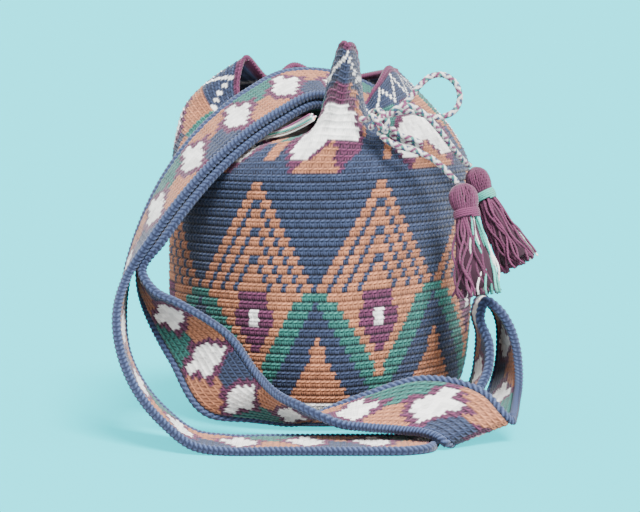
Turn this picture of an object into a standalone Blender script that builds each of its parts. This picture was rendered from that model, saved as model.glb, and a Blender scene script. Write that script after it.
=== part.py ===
"""Crocheted mochila bag: drum body with a gathered collar, long flat strap with
braided edgings, drawstring with a bow, and two yarn tassels.  Metres, +Z up.
Origin: middle of the base, on the floor.  The front of the bag faces -Y."""
import math

import bpy
import numpy as np

for _o in list(bpy.data.objects):
    bpy.data.objects.remove(_o, do_unlink=True)

MM = 0.001
# ---- sizes, millimetres -------------------------------------------------
WALL_R = 112.0            # outer radius of the drum
BASE_R = 78.0             # flat part of the base
NECK_Z = 187.0            # height at which the collar starts
NECK_TILT = 0.022         # the bag stands a little higher on its right
CLOTH = 4.5               # thickness of the crocheted wall
STRAP_T = 4.2             # thickness of the strap
EDGE_D = 5.2              # diameter of the strap's braided edging
GAP = 0.35                # clearance between touching pieces
CORD_D = 5.0              # drawstring diameter
STITCH_D = 3.0            # sewing yarn at the strap ends
BIGHT_D = 8.0             # the short bight is two cords side by side
TASSEL_LENGTH = 79.5      # head and skirt
FRONT_WIDE = 1.15         # the front tassel is flattened against the bag by this much
BINDING_AT, BINDING_R, BINDING_H, BINDING_T = 22.0, 8.9, 2.4, 1.4   # yarn round the neck
KNOT_RINGS, KNOT_SIDES = 9, 12

# ---- collar: cloth angle (deg, 0 = front, + = to the right) and the
# positions of the cloth at 24, 48, 72 and 96 mm above the neck ------------
COLLAR = [
    (-180, (0, 95, 207), (2, 76, 224), (4, 60, 238), (6, 48, 250)),
    (-154, (-42, 86, 206), (-34, 70, 226), (-26, 56, 245), (-20, 44, 262)),
    (-129, (-80, 62, 208), (-69, 50, 229), (-55, 38, 243), (-38, 28, 251)),
    (-103, (-104, 22, 209), (-98, 17, 232), (-81, 13, 251), (-56, 10, 268)),
    (-90, (-108, 0, 209), (-101, 0, 230), (-84, 2, 246), (-59, 6, 261)),
    (-77, (-104, -20, 205), (-93, -14, 221), (-78, -6, 232), (-61, 2, 241)),
    (-51, (-73, -57, 195), (-56, -43, 198), (-40, -31, 196), (-28, -20, 191)),
    (-28, (-42, -87, 203), (-28, -68, 208), (-16, -50, 205), (-8, -34, 198)),
    (-15, (-15, -95, 207), (-5, -81, 217), (0, -67, 219), (3, -54, 213)),
    (-8, (-4, -101, 209), (4, -91, 232), (7, -87, 255), (12, -85, 271)),
    (0, (9, -106, 209), (14, -102, 232), (18, -99, 255), (20, -95, 277)),
    (8, (24, -99, 208), (25, -91, 232), (27, -87, 254), (26, -84, 273)),
    (17, (37, -94, 206), (36, -81, 219), (33, -71, 229), (31, -62, 237)),
    (28, (52, -87, 206), (49, -76, 221), (44, -67, 234), (39, -58, 245)),
    (51, (79, -62, 207), (70, -54, 224), (60, -47, 242), (50, -40, 260)),
    (77, (97, -22, 212), (84, -20, 228), (69, -18, 243), (56, -16, 256)),
    (103, (97, 22, 212), (82, 20, 231), (69, 17, 246), (57, 14, 258)),
    (129, (76, 62, 210), (65, 53, 230), (54, 43, 245), (45, 35, 256)),
    (154, (42, 87, 208), (36, 71, 227), (30, 58, 241), (25, 48, 252)),
]

# ---- strap: the two long edges (P1, P2), from the end sewn inside the right
# of the collar, over the left shoulder, along the floor, up the right-hand
# loop, round the front corner and back over the shoulder -----------------
OVER = [((76, 32, 218), (72, -16, 206)),
        ((58, 32, 233), (52, -24, 217)),
        ((34, 26, 247), (34, -32, 229)),
        ((8, 10, 256), (16, -44, 235))]
TURN = [((-142, -82, 84), (-142, -140, 87)),
        ((-139, -93, 60), (-138, -151, 64)),
        ((-127, -108, 37), (-126, -166, 40)),
        ((-108, -123, 18), (-107, -181, 20)),
        ((-87, -134, 5.5), (-86, -192, 6)),
        ((-64, -138, 2.95), (-64, -196, 2.95)),
        ((-30, -138, 2.95), (-30, -196, 2.95)),
        ((7, -138, 2.95), (7, -196, 2.95)),
        ((36, -138, 2.95), (36, -196, 2.95)),
        ((58, -136, 2.95), (60, -194, 2.95)),
        ((70, -129, 3), (72, -186, 2.95)),
        ((79, -117, 4.5), (77, -170, 3.2)),
        ((87, -103, 8), (83, -154, 7)),
        ((97, -88, 14), (92, -141, 14)),
        ((106, -73, 23), (103, -127, 22)),
        ((113, -58, 35), (112, -115, 32)),
        ((116, -47, 50), (120, -106, 46)),
        ((117, -43, 66), (121, -101, 64)),
        ((114, -42, 82), (114.5, -100, 84)),
        ((118, -42, 91), (118.5, -100, 95)),
        ((126, -44, 86), (127.5, -101, 89)),
        ((131, -46, 76), (135, -102, 78)),
        ((132, -49, 60), (140, -104, 64)),
        ((130, -54, 42), (142, -108, 50)),
        ((122, -69, 22), (142, -116, 37)),
        ((110, -95, 8.5), (141, -122, 29)),
        ((100, -122, 4), (140, -128, 23)),
        ((92, -148, 3), (138, -135, 19)),
        ((87, -167, 2.9), (135, -142, 17.5)),
        ((84, -173, 4.8), (131, -143, 21)),
        ((76, -172, 9.0), (120, -131, 32)),
        ((54, -167, 11.5), (77, -112, 42)),
        ((31, -168, 14), (34, -116, 31)),
        ((12, -170, 18), (6, -119, 20)),
        ((-12, -163, 29), (-15, -119, 10.5)),
        ((-30, -150, 37), (-46, -109, 10.5)),
        ((-42, -135, 49), (-80, -114, 14)),
        ((-63, -131, 76), (-108, -103, 53)),
        ((-98, -130, 97), (-127, -81, 90)),
        ((-116, -124, 105), (-131, -68, 104)),
        ((-125, -119, 117), (-131, -63, 119))]
UNDER = 7.4               # the return run lies this far under the first
# over the shoulder the strap's middle follows one bend from the collar to the
# left side; its width turns and levels out on the way down
SHOULDER = ((-15, -35, 248), (-95, -95, 218), (-138, -95, 113))
SHOULDER_ROWS = 6
STRAP_WIDTH = 58.0        # between the two edges, over the shoulder
TURN_FROM, TURN_TO = 24.0, 3.0     # degrees the width points away from the front
DIP_FROM, DIP_TO = 17.0, 1.0       # degrees it points down
RETURN_FROM = 3           # the return run copies the rows from this one on
INSIDE = [((30, -16, 214), (26, 38, 226)),
          ((36, -6, 199), (34, 47, 208))]


def hermite(t, y, tq, period=None):
    """Smooth curve through points y at parameters t, read at tq."""
    t = np.asarray(t, float)
    y = np.asarray(y, float)
    tq = np.atleast_1d(np.asarray(tq, float))
    if period:
        t = np.concatenate([[t[-2] - period, t[-1] - period], t, [t[0] + period, t[1] + period]])
        y = np.concatenate([y[-2:], y, y[:2]])
    m = np.zeros_like(y)
    h = np.diff(t)[:, None]
    d = np.diff(y, axis=0) / h
    m[1:-1] = (d[:-1] * h[1:] + d[1:] * h[:-1]) / (h[:-1] + h[1:])
    m[0], m[-1] = d[0], d[-1]
    i = np.clip(np.searchsorted(t, tq, side="right") - 1, 0, len(t) - 2)
    hh = (t[i + 1] - t[i])[:, None]
    s = (tq[:, None] - t[i][:, None]) / hh
    return ((2 * s**3 - 3 * s**2 + 1) * y[i] + (s**3 - 2 * s**2 + s) * hh * m[i]
            + (-2 * s**3 + 3 * s**2) * y[i + 1] + (s**3 - s**2) * hh * m[i + 1])


def curve(points, step):
    """Evenly spaced points on a smooth curve through the given points."""
    p = np.asarray(points, float)
    t = np.concatenate([[0], np.cumsum(np.linalg.norm(np.diff(p, axis=0), axis=1))])
    fine = hermite(t, p, np.linspace(0, t[-1], 40 * len(p)))
    a = np.concatenate([[0], np.cumsum(np.linalg.norm(np.diff(fine, axis=0), axis=1))])
    n = max(3, int(round(a[-1] / step)) + 1)
    q = np.linspace(0, a[-1], n)
    return np.stack([np.interp(q, a, fine[:, k]) for k in range(3)], 1)


def unit(v):
    v = np.asarray(v, float)
    return v / np.maximum(np.linalg.norm(v, axis=-1, keepdims=True), 1e-9)


def add_mesh(name, verts, faces, colour, rough=0.9):
    me = bpy.data.meshes.new(name)
    me.from_pydata([tuple(v * MM) for v in np.asarray(verts, float)], [], faces)
    me.validate()
    mat = bpy.data.materials.new(name)
    mat.use_nodes = True
    b = mat.node_tree.nodes["Principled BSDF"]
    b.inputs["Base Color"].default_value = (*colour, 1)
    b.inputs["Roughness"].default_value = rough
    me.materials.append(mat)
    ob = bpy.data.objects.new(name, me)
    bpy.context.scene.collection.objects.link(ob)
    for f in me.polygons:
        f.use_smooth = True
    return ob


def rings_mesh(name, rings, colour, cap=True):
    """Skin closed rings of equal count; flat fans close both ends."""
    n = len(rings[0])
    verts = [v for r in rings for v in r]
    faces = []
    for i in range(len(rings) - 1):
        for j in range(n):
            k = (j + 1) % n
            faces.append((i * n + j, i * n + k, (i + 1) * n + k, (i + 1) * n + j))
    if cap:
        a, b = len(verts), len(verts) + 1
        verts += [np.mean(rings[0], 0), np.mean(rings[-1], 0)]
        last = (len(rings) - 1) * n
        for j in range(n):
            k = (j + 1) % n
            faces.append((a, k, j))
            faces.append((b, last + j, last + k))
    vol = 0.0
    vv = np.asarray(verts, float)
    for f in faces:
        for q in range(1, len(f) - 1):
            vol += np.dot(vv[f[0]], np.cross(vv[f[q]], vv[f[q + 1]]))
    if vol < 0:
        faces = [tuple(reversed(f)) for f in faces]
    return add_mesh(name, verts, faces, colour)


def frames(path):
    """Tangents with a sideways pair carried along without twist."""
    p = np.asarray(path, float)
    t = unit(np.gradient(p, axis=0))
    s = unit(np.cross(t[0], (0.13, 0.31, 0.94)))
    out = []
    for k in range(len(p)):
        s = unit(s - t[k] * np.dot(s, t[k]))
        out.append((t[k], s, np.cross(t[k], s)))
    return out


def tube(name, points, diameter, colour, step=None, sides=8, path=None):
    p = curve(points, step or diameter * 1.6) if path is None else np.asarray(path, float)
    r = diameter / 2
    rings = []
    for k, (t, s, u) in enumerate(frames(p)):
        rings.append([p[k] + r * (s * math.cos(a) + u * math.sin(a))
                      for a in np.linspace(0, 2 * math.pi, sides, endpoint=False)])
    return rings_mesh(name, rings, colour)


# ---- bag body -------------------------------------------------------------
CONTROL_T = (-24.0, 0.0, 24.0, 48.0, 72.0, 96.0)


def around(phi, radius, z):
    a = math.radians(phi)
    x, y = radius * math.sin(a), -radius * math.cos(a)
    return (x, y, z + NECK_TILT * x * min(1.0, z / NECK_Z))


def collar_point(phi, t):
    """Outer surface of the collar, t millimetres of cloth above the neck."""
    rows = []
    angles = [c[0] for c in COLLAR]
    for k, tt in enumerate(CONTROL_T):
        if tt == -24:
            rows.append(around(phi, WALL_R, NECK_Z - 22))
        elif tt == 0:
            rows.append(around(phi, WALL_R - 1, NECK_Z))
        else:
            ys = [c[k - 1] for c in COLLAR]
            rows.append(hermite(angles, ys, [phi], period=360)[0])
    return hermite(CONTROL_T, rows, [t])[0]


PHIS = sorted(set([float(a) for a in range(-180, 180, 8)]
                  + [-36, -28, -22, -18, -14.5, -11.5, -8, -4, 0, 4, 8, 11, 14, 18, 22, 28]))
WALL_RINGS = [(BASE_R * 0.5, 0.0), (BASE_R, 0.0), (88, 3.0), (97, 10.0), (104, 22.0), (109, 40.0),
              (WALL_R, 64.0), (WALL_R + 0.8, 110.0), (WALL_R, NECK_Z - 24)]
COLLAR_T = [-10, 0, 9, 18, 28, 38, 48, 60, 72, 84, 96]


def build_body():
    outer = [[around(p, r, z) for p in PHIS] for r, z in WALL_RINGS]
    outer += [[collar_point(p, t) for p in PHIS] for t in COLLAR_T]
    o = np.asarray(outer, float)
    du = np.roll(o, -1, 1) - np.roll(o, 1, 1)
    dv = np.gradient(o, axis=0)
    nrm = unit(np.cross(du, dv))
    nrm[0] = nrm[1] = (0, 0, -1)
    nrm[2] = unit(nrm[2] + np.array([0, 0, -0.4]))
    inner = o - nrm * CLOTH
    inner[0, :, 2] = inner[1, :, 2] = CLOTH
    inner[1, :, :2] *= 0.985
    nr, nc = o.shape[:2]
    verts = [v for r in o for v in r] + [v for r in inner for v in r]
    faces = []
    base = nr * nc
    for i in range(nr - 1):
        for j in range(nc):
            k = (j + 1) % nc
            faces.append((i * nc + j, i * nc + k, (i + 1) * nc + k, (i + 1) * nc + j))
            faces.append((base + i * nc + k, base + i * nc + j,
                          base + (i + 1) * nc + j, base + (i + 1) * nc + k))
    last = (nr - 1) * nc
    for j in range(nc):
        k = (j + 1) % nc
        faces.append((last + j, last + k, base + last + k, base + last + j))
    c0, c1 = len(verts), len(verts) + 1
    verts += [np.array([0, 0, 0.0]), np.array([0, 0, CLOTH])]
    for j in range(nc):
        k = (j + 1) % nc
        faces.append((c0, k, j))
        faces.append((c1, base + j, base + k))
    return add_mesh("bag_body", verts, faces, (0.11, 0.17, 0.34))


def shoulder_row(s):
    """The strap's two edges over the shoulder, s from 0 at the collar to 1."""
    a, b, c = np.asarray(SHOULDER, float)
    mid = (1 - s) ** 2 * a + 2 * s * (1 - s) * b + s * s * c
    turn = math.radians(TURN_TO + (TURN_FROM - TURN_TO) * math.cos(math.pi / 2 * s * s))
    dip = math.radians(DIP_TO + (DIP_FROM - DIP_TO) * math.cos(math.pi / 2 * s))
    across = np.array([math.sin(turn) * math.cos(dip), -math.cos(turn) * math.cos(dip), -math.sin(dip)])
    return mid - across * STRAP_WIDTH / 2, mid + across * STRAP_WIDTH / 2


def strap_edges():
    over = OVER + [shoulder_row(k / SHOULDER_ROWS) for k in range(SHOULDER_ROWS)]
    turn = [shoulder_row(1.0)] + TURN
    p1 = np.array([a for a, _ in over], float)
    p2 = np.array([b for _, b in over], float)
    n = unit(np.cross(unit(np.gradient((p1 + p2) / 2, axis=0)), unit(p2 - p1)))
    up = n[-1] if n[-1][0] < 0 else -n[-1]        # out of the bag, at its left side
    out = np.array([v if np.dot(v, up) > 0 else -v for v in n])
    below1, below2 = (p - out * UNDER for p in (p1, p2))
    first = [*below2[:RETURN_FROM - 1:-1], *(np.array(a, float) for a, _ in INSIDE)]
    second = [*below1[:RETURN_FROM - 1:-1], *(np.array(b, float) for _, b in INSIDE)]
    return ([*p1, *(np.array(a, float) for a, _ in turn), *first],
            [*p2, *(np.array(b, float) for _, b in turn), *second])


def strap_samples(step=11.0):
    p1, p2 = strap_edges()
    p1, p2 = np.asarray(p1), np.asarray(p2)
    mid = (p1 + p2) / 2
    seg = np.linalg.norm(np.diff(mid, axis=0), axis=1)
    t = np.concatenate([[0], np.cumsum(seg)])
    q = []
    for k in range(len(seg)):
        n = max(1, int(round(seg[k] / step)), 2 if seg[k] > 9 else 1)
        q += list(np.linspace(t[k], t[k + 1], n, endpoint=False))
    q.append(t[-1])
    return hermite(t, p1, q), hermite(t, p2, q)


def build_strap():
    a, b = strap_samples()
    mid = (a + b) / 2
    tan = unit(np.gradient(mid, axis=0))
    w = unit(b - a)
    n = unit(np.cross(tan, w))
    inset = EDGE_D + GAP + 0.1
    half = np.linalg.norm(b - a, axis=1) / 2 - inset
    h = STRAP_T / 2
    rings = []
    for k in range(len(mid)):
        wx = half[k]
        rings.append([mid[k] + w[k] * x + n[k] * y for x, y in
                      ((-wx, -h + 1), (-wx + 1, -h), (0, -h), (wx - 1, -h), (wx, -h + 1),
                       (wx, h - 1), (wx - 1, h), (0, h), (-wx + 1, h), (-wx, h - 1))])
    rings_mesh("strap", rings, (0.55, 0.29, 0.20))
    for name, side in (("strap_edging_a", -1), ("strap_edging_b", 1)):
        edge = mid + w * (side * half)[:, None]
        run = unit(np.gradient(edge, axis=0))
        out = unit(side * w - run * np.sum(side * w * run, axis=1)[:, None])
        tube(name, None, EDGE_D, (0.10, 0.17, 0.36), sides=6, path=edge + out * (GAP + EDGE_D / 2))
    return mid, w, n, half


def axis_body(name, axis, profile, colour, sides=16, ruffle=0.0, wide=1.0):
    """A soft bundle along a curved axis: profile is (distance, radius)."""
    p = curve(axis, 2.0)
    a = np.concatenate([[0], np.cumsum(np.linalg.norm(np.diff(p, axis=0), axis=1))])
    fr = frames(p)
    rings = []
    for dist, rad in profile:
        k = int(np.clip(np.searchsorted(a, dist), 0, len(p) - 1))
        c = np.array([np.interp(dist, a, p[:, q]) for q in range(3)])
        t = fr[k][0]
        s = unit(np.array([1.0, 0, 0]) - t * t[0])
        u = np.cross(t, s)
        ring = []
        for j in range(sides):
            g = 2 * math.pi * j / sides
            rr = rad * (1 + ruffle * (dist / a[-1]) * (1 if j % 2 else -1))
            ring.append(c + rr * (s * math.cos(g) * wide + u * math.sin(g) / wide))
        rings.append(ring)
    return rings_mesh(name, rings, colour)


FRONT_AXIS = [(99, -103, 178), (102, -106, 167), (104, -109, 156), (108, -113, 130), (112, -116, 100)]
BACK_AXIS = [(112, -57, 187), (115, -59, 178), (120, -61, 167), (131, -63, 143), (146, -66, 117)]
TASSEL = [(0, 3.0), (2, 6.2), (6, 8.6), (11, 9.2), (16, 8.4), (20, 7.2), (24, 7.0), (28, 8.6),
          (36, 11.5), (50, 14.5), (64, 17.0), (76, 18.5)]


def build_tassel(tag, axis, wide, binding):
    prof = [*TASSEL, (TASSEL_LENGTH, TASSEL[-1][1])]
    axis_body("tassel_" + tag, axis, prof, (0.30, 0.11, 0.20), ruffle=0.05, wide=wide)
    p = curve(axis, 1.0)
    a = np.concatenate([[0], np.cumsum(np.linalg.norm(np.diff(p, axis=0), axis=1))])
    rings = []
    sides, prof2 = 14, ((-BINDING_H, 0.0), (-BINDING_H, BINDING_T), (BINDING_H, BINDING_T), (BINDING_H, 0.0))
    c = np.array([np.interp(BINDING_AT, a, p[:, q]) for q in range(3)])
    t = unit(np.array([np.interp(BINDING_AT + 1, a, p[:, q]) for q in range(3)]) - c)
    s = unit(np.array([1.0, 0, 0]) - t * t[0])
    u = np.cross(t, s)
    for j in range(sides):
        g = 2 * math.pi * j / sides
        d = s * math.cos(g) + u * math.sin(g)
        rings.append([c + t * x + d * (BINDING_R + y) for x, y in prof2])
    n = len(prof2)
    verts = [v for r in rings for v in r]
    faces = []
    for i in range(sides):
        k = (i + 1) % sides
        for j in range(n):
            m = (j + 1) % n
            faces.append((i * n + j, i * n + m, k * n + m, k * n + j))
    vv = np.asarray(verts)
    vol = sum(np.dot(vv[f[0]], np.cross(vv[f[q]], vv[f[q + 1]])) for f in faces for q in (1, 2))
    if vol < 0:
        faces = [tuple(reversed(f)) for f in faces]
    add_mesh("tassel_binding_" + tag, verts, faces, binding)


CORD = (0.50, 0.42, 0.45)
EXIT_RUN = [(27.5, -101.5, 225), (31, -101.5, 224.6), (34.2, -101, 224)]
KNOT_C, KNOT_R = (41, -101, 222), (6.2, 6.0, 7.5)
BOW = [(49.2, -97, 226.5), (56, -93, 232), (63, -89, 238), (71, -87.5, 248), (79, -87, 254.5), (88, -87.5, 255.5),
       (96, -88.5, 250), (99.5, -90, 240), (96, -91.5, 230.5), (88, -92.5, 226.2), (79, -94, 226),
       (70, -96.5, 228.5), (61, -100.5, 230.2), (50.3, -103.5, 228.2)]
BIGHT = [(49.6, -100, 217), (57, -100, 211.5), (66, -100, 209), (72.5, -100, 206)]
END_BACK = [(47, -108.5, 226.5), (55, -109.5, 233), (63, -107.5, 234), (72, -103, 229.5), (82, -97, 219.5),
            (92, -88.5, 207), (101, -76, 196), (107, -66, 190.4), (109, -62.4, 189.6)]
END_FRONT = [(43, -105, 213.4), (49, -107.5, 208.5), (58, -108, 205), (70, -107.5, 201.5), (81, -106, 195.5),
             (90, -104, 187.5), (95.5, -103, 181.5), (97.9, -103, 179.2)]
FRONT_RUN = [(-5, -89, 226), (-13, -80, 221), (-25, -71, 215), (-40, -64, 210.5), (-56, -56, 204), (-66, -51, 201)]


def build_all():
    build_body()
    mid, w, n, half = build_strap()
    tube("drawstring_exit", EXIT_RUN, CORD_D, CORD, step=3)
    rings = []
    for k in range(KNOT_RINGS):
        a = math.pi * (k + 0.5) / KNOT_RINGS
        rings.append([np.add(KNOT_C, (KNOT_R[0] * math.sin(a) * math.cos(g), KNOT_R[1] * math.sin(a) * math.sin(g),
                                      -KNOT_R[2] * math.cos(a))) for g in np.linspace(0, 2 * math.pi, KNOT_SIDES, endpoint=False)])
    rings_mesh("drawstring_knot", rings, CORD)
    tube("drawstring_bow", BOW, CORD_D, CORD, step=5.5)
    tube("drawstring_bight", BIGHT, BIGHT_D, CORD, step=5)
    tube("drawstring_end_back", END_BACK, CORD_D, CORD, step=6)
    tube("drawstring_end_front", END_FRONT, CORD_D, CORD, step=6)
    tube("drawstring_front_run", FRONT_RUN, CORD_D, CORD, step=6)
    build_tassel("front", FRONT_AXIS, FRONT_WIDE, (0.33, 0.13, 0.24))
    build_tassel("back", BACK_AXIS, 1.0, (0.13, 0.38, 0.36))
    # sewing across the strap ends: a short whipped seam on each
    for tag, k, d in (("a", 0, -1), ("b", -1, 1)):
        t = unit(mid[1] - mid[0]) if k == 0 else unit(mid[-2] - mid[-1])
        c = mid[k] - t * (STITCH_D / 2 + GAP)
        tube("strap_stitching_" + tag, [c - w[k] * (half[k] - 2), c, c + w[k] * (half[k] - 2)],
             STITCH_D, (0.75, 0.73, 0.70), step=6, sides=6)


build_all()
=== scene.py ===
"""Crocheted mochila bag: stitch-by-stitch cloth, braided strap edging, drawstring and tassels."""

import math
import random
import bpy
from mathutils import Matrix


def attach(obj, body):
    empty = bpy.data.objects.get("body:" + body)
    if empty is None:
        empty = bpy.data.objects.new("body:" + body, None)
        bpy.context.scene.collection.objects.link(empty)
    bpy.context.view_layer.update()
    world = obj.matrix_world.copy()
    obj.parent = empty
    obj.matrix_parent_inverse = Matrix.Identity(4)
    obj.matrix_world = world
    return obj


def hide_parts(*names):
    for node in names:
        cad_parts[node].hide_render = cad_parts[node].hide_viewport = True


bl_info = {
    "name": "Crocheted mochila bag",
    "version": (1, 0, 0),
    "blender": (4, 5, 0),
    "location": "3D View > Sidebar > Mochila",
    "description": "Crocheted drum bag with a gathered collar, a patterned strap, a drawstring and tassels",
    "category": "Add Mesh",
}

import bmesh
import bpy
import numpy as np
from bpy.props import FloatProperty, FloatVectorProperty, IntProperty, PointerProperty

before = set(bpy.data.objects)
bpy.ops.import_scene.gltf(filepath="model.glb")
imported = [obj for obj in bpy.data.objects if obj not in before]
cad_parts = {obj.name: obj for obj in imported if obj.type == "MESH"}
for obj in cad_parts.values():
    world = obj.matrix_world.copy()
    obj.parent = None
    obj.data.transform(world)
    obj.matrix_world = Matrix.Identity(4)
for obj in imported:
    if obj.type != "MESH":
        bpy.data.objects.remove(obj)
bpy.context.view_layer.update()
MM = 0.001
BLUE, ORANGE, TEAL, MAUVE, WHITE = range(5)

# ---- shape of the body, millimetres ----------------------------------------
WALL_R, NECK_Z, NECK_TILT, CLOTH = 112.0, 187.0, 0.022, 4.5
PROFILE = [(112, 165), (112.8, 110), (112, 64), (109, 40), (104, 22), (97, 10), (88, 3), (78, 0)]
SHOULDER_Z = 24        # the wall starts to bend this far under the neck
CONTROL_T = (-24.0, 0.0, 24.0, 48.0, 72.0, 96.0)
# cloth angle (0 = front, + = right) and where the collar lies 24, 48, 72 and 96 mm above the neck
COLLAR = [
    (-180, (0, 95, 207), (2, 76, 224), (4, 60, 238), (6, 48, 250)),
    (-154, (-42, 86, 206), (-34, 70, 226), (-26, 56, 245), (-20, 44, 262)),
    (-129, (-80, 62, 208), (-69, 50, 229), (-55, 38, 243), (-38, 28, 251)),
    (-103, (-104, 22, 209), (-98, 17, 232), (-81, 13, 251), (-56, 10, 268)),
    (-90, (-108, 0, 209), (-101, 0, 230), (-84, 2, 246), (-59, 6, 261)),
    (-77, (-104, -20, 205), (-93, -14, 221), (-78, -6, 232), (-61, 2, 241)),
    (-51, (-73, -57, 195), (-56, -43, 198), (-40, -31, 196), (-28, -20, 191)),
    (-28, (-42, -87, 203), (-28, -68, 208), (-16, -50, 205), (-8, -34, 198)),
    (-15, (-15, -95, 207), (-5, -81, 217), (0, -67, 219), (3, -54, 213)),
    (-8, (-4, -101, 209), (4, -91, 232), (7, -87, 255), (12, -85, 271)),
    (0, (9, -106, 209), (14, -102, 232), (18, -99, 255), (20, -95, 277)),
    (8, (24, -99, 208), (25, -91, 232), (27, -87, 254), (26, -84, 273)),
    (17, (37, -94, 206), (36, -81, 219), (33, -71, 229), (31, -62, 237)),
    (28, (52, -87, 206), (49, -76, 221), (44, -67, 234), (39, -58, 245)),
    (51, (79, -62, 207), (70, -54, 224), (60, -47, 242), (50, -40, 260)),
    (77, (97, -22, 212), (84, -20, 228), (69, -18, 243), (56, -16, 256)),
    (103, (97, 22, 212), (82, 20, 231), (69, 17, 246), (57, 14, 258)),
    (129, (76, 62, 210), (65, 53, 230), (54, 43, 245), (45, 35, 256)),
    (154, (42, 87, 208), (36, 71, 227), (30, 58, 241), (25, 48, 252)),
]

# ---- route of the strap: its two long edges, millimetres ---------------------
STRAP_T, EDGE_D, GAP, UNDER = 4.2, 5.2, 0.35, 7.4
OVER = [((76, 32, 218), (72, -16, 206)), ((58, 32, 233), (52, -24, 217)), ((34, 26, 247), (34, -32, 229)),
        ((8, 10, 256), (16, -44, 235))]
TURN = [((-142, -82, 84), (-142, -140, 87)), ((-139, -93, 60), (-138, -151, 64)),
        ((-127, -108, 37), (-126, -166, 40)), ((-108, -123, 18), (-107, -181, 20)),
        ((-87, -134, 5.5), (-86, -192, 6)), ((-64, -138, 2.95), (-64, -196, 2.95)),
        ((-30, -138, 2.95), (-30, -196, 2.95)), ((7, -138, 2.95), (7, -196, 2.95)),
        ((36, -138, 2.95), (36, -196, 2.95)), ((58, -136, 2.95), (60, -194, 2.95)),
        ((70, -129, 3), (72, -186, 2.95)), ((79, -117, 4.5), (77, -170, 3.2)),
        ((87, -103, 8), (83, -154, 7)), ((97, -88, 14), (92, -141, 14)),
        ((106, -73, 23), (103, -127, 22)), ((113, -58, 35), (112, -115, 32)),
        ((116, -47, 50), (120, -106, 46)), ((117, -43, 66), (121, -101, 64)),
        ((114, -42, 82), (114.5, -100, 84)), ((118, -42, 91), (118.5, -100, 95)),
        ((126, -44, 86), (127.5, -101, 89)), ((131, -46, 76), (135, -102, 78)),
        ((132, -49, 60), (140, -104, 64)), ((130, -54, 42), (142, -108, 50)),
        ((122, -69, 22), (142, -116, 37)), ((110, -95, 8.5), (141, -122, 29)),
        ((100, -122, 4), (140, -128, 23)), ((92, -148, 3), (138, -135, 19)),
        ((87, -167, 2.9), (135, -142, 17.5)), ((84, -173, 4.8), (131, -143, 21)),
        ((76, -172, 9.0), (120, -131, 32)), ((54, -167, 11.5), (77, -112, 42)),
        ((31, -168, 14), (34, -116, 31)), ((12, -170, 18), (6, -119, 20)),
        ((-12, -163, 29), (-15, -119, 10.5)), ((-30, -150, 37), (-46, -109, 10.5)),
        ((-42, -135, 49), (-80, -114, 14)), ((-63, -131, 76), (-108, -103, 53)),
        ((-98, -130, 97), (-127, -81, 90)), ((-116, -124, 105), (-131, -68, 104)),
        ((-125, -119, 117), (-131, -63, 119))]
INSIDE = [((30, -16, 214), (26, 38, 226)), ((36, -6, 199), (34, 47, 208))]
SHOULDER = ((-15, -35, 248), (-95, -95, 218), (-138, -95, 113))
SHOULDER_ROWS = 6
STRAP_WIDTH = 58.0
TURN_FROM, TURN_TO = 24.0, 3.0     # degrees the width points away from the front
DIP_FROM, DIP_TO = 17.0, 1.0       # degrees it points down
RETURN_FROM = 3                    # the return run copies the rows from this one on

# ---- routes of the drawstring and the tassels, millimetres -------------------
EXIT_RUN = [(27.5, -101.5, 225), (31, -101.5, 224.6), (34.2, -101, 224)]
BOW = [(49.2, -97, 226.5), (56, -93, 232), (63, -89, 238), (71, -87.5, 248), (79, -87, 254.5),
       (88, -87.5, 255.5), (96, -88.5, 250), (99.5, -90, 240), (96, -91.5, 230.5), (88, -92.5, 226.2),
       (79, -94, 226), (70, -96.5, 228.5), (61, -100.5, 230.2), (50.3, -103.5, 228.2)]
BIGHT = [(49.6, -100, 217), (57, -100, 211.5), (66, -100, 209), (72.5, -100, 206)]
KNOT_TURNS = [((35, -104, 218), (40, -109, 223), (46, -106, 228), (48, -99, 227), (43, -95, 221)),
              ((36, -98, 229), (42, -105, 230.5), (47, -108, 225), (46, -105, 217), (41, -100, 214)),
              ((34, -101, 224), (36.5, -107, 227), (42, -110, 221), (47, -104, 215))]
END_BACK = [(47, -108.5, 226.5), (55, -109.5, 233), (63, -107.5, 234), (72, -103, 229.5),
            (82, -97, 219.5), (92, -88.5, 207), (101, -76, 196), (107, -66, 190.4), (109, -62.4, 189.6)]
END_FRONT = [(43, -105, 213.4), (49, -107.5, 208.5), (58, -108, 205), (70, -107.5, 201.5),
             (81, -106, 195.5), (90, -104, 187.5), (95.5, -103, 181.5), (97.9, -103, 179.2)]
FRONT_RUN = [(-5, -89, 226), (-13, -80, 221), (-25, -71, 215), (-40, -64, 210.5), (-56, -56, 204),
             (-66, -51, 201)]
LOOSE_WIDE, LOOSE_YARNS = 5.5, 11     # the front run's yarns lie side by side
FRONT_AXIS = [(99, -103, 178), (102, -106, 167), (104, -109, 156), (108, -113, 130), (112, -116, 100)]
BACK_AXIS = [(112, -57, 187), (115, -59, 178), (120, -61, 167), (131, -63, 143), (146, -66, 117)]


def colour_prop(label, note, default):
    return FloatVectorProperty(name=label, description=note, default=default, size=3,
                               min=0, max=1, subtype="COLOR")


class BagYarns(bpy.types.PropertyGroup):
    """Colours of the yarns."""

    blue: colour_prop("Denim blue", "Main yarn of the wall, collar and edgings", (0.085, 0.13, 0.27))
    orange: colour_prop("Terracotta", "Roofs, blocks and triangles", (1.0, 0.39, 0.19))
    teal: colour_prop("Sea green", "Chevrons and triangles", (0.07, 0.42, 0.34))
    mauve: colour_prop("Plum", "Doors, outlines, rim and tassels", (0.34, 0.075, 0.20))
    white: colour_prop("Off-white", "Windows, diamonds and flecks", (1.0, 0.99, 0.95))
    floor: colour_prop("Floor", "Plain sweep that the bag stands on", (0.003, 0.665, 0.75))


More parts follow.
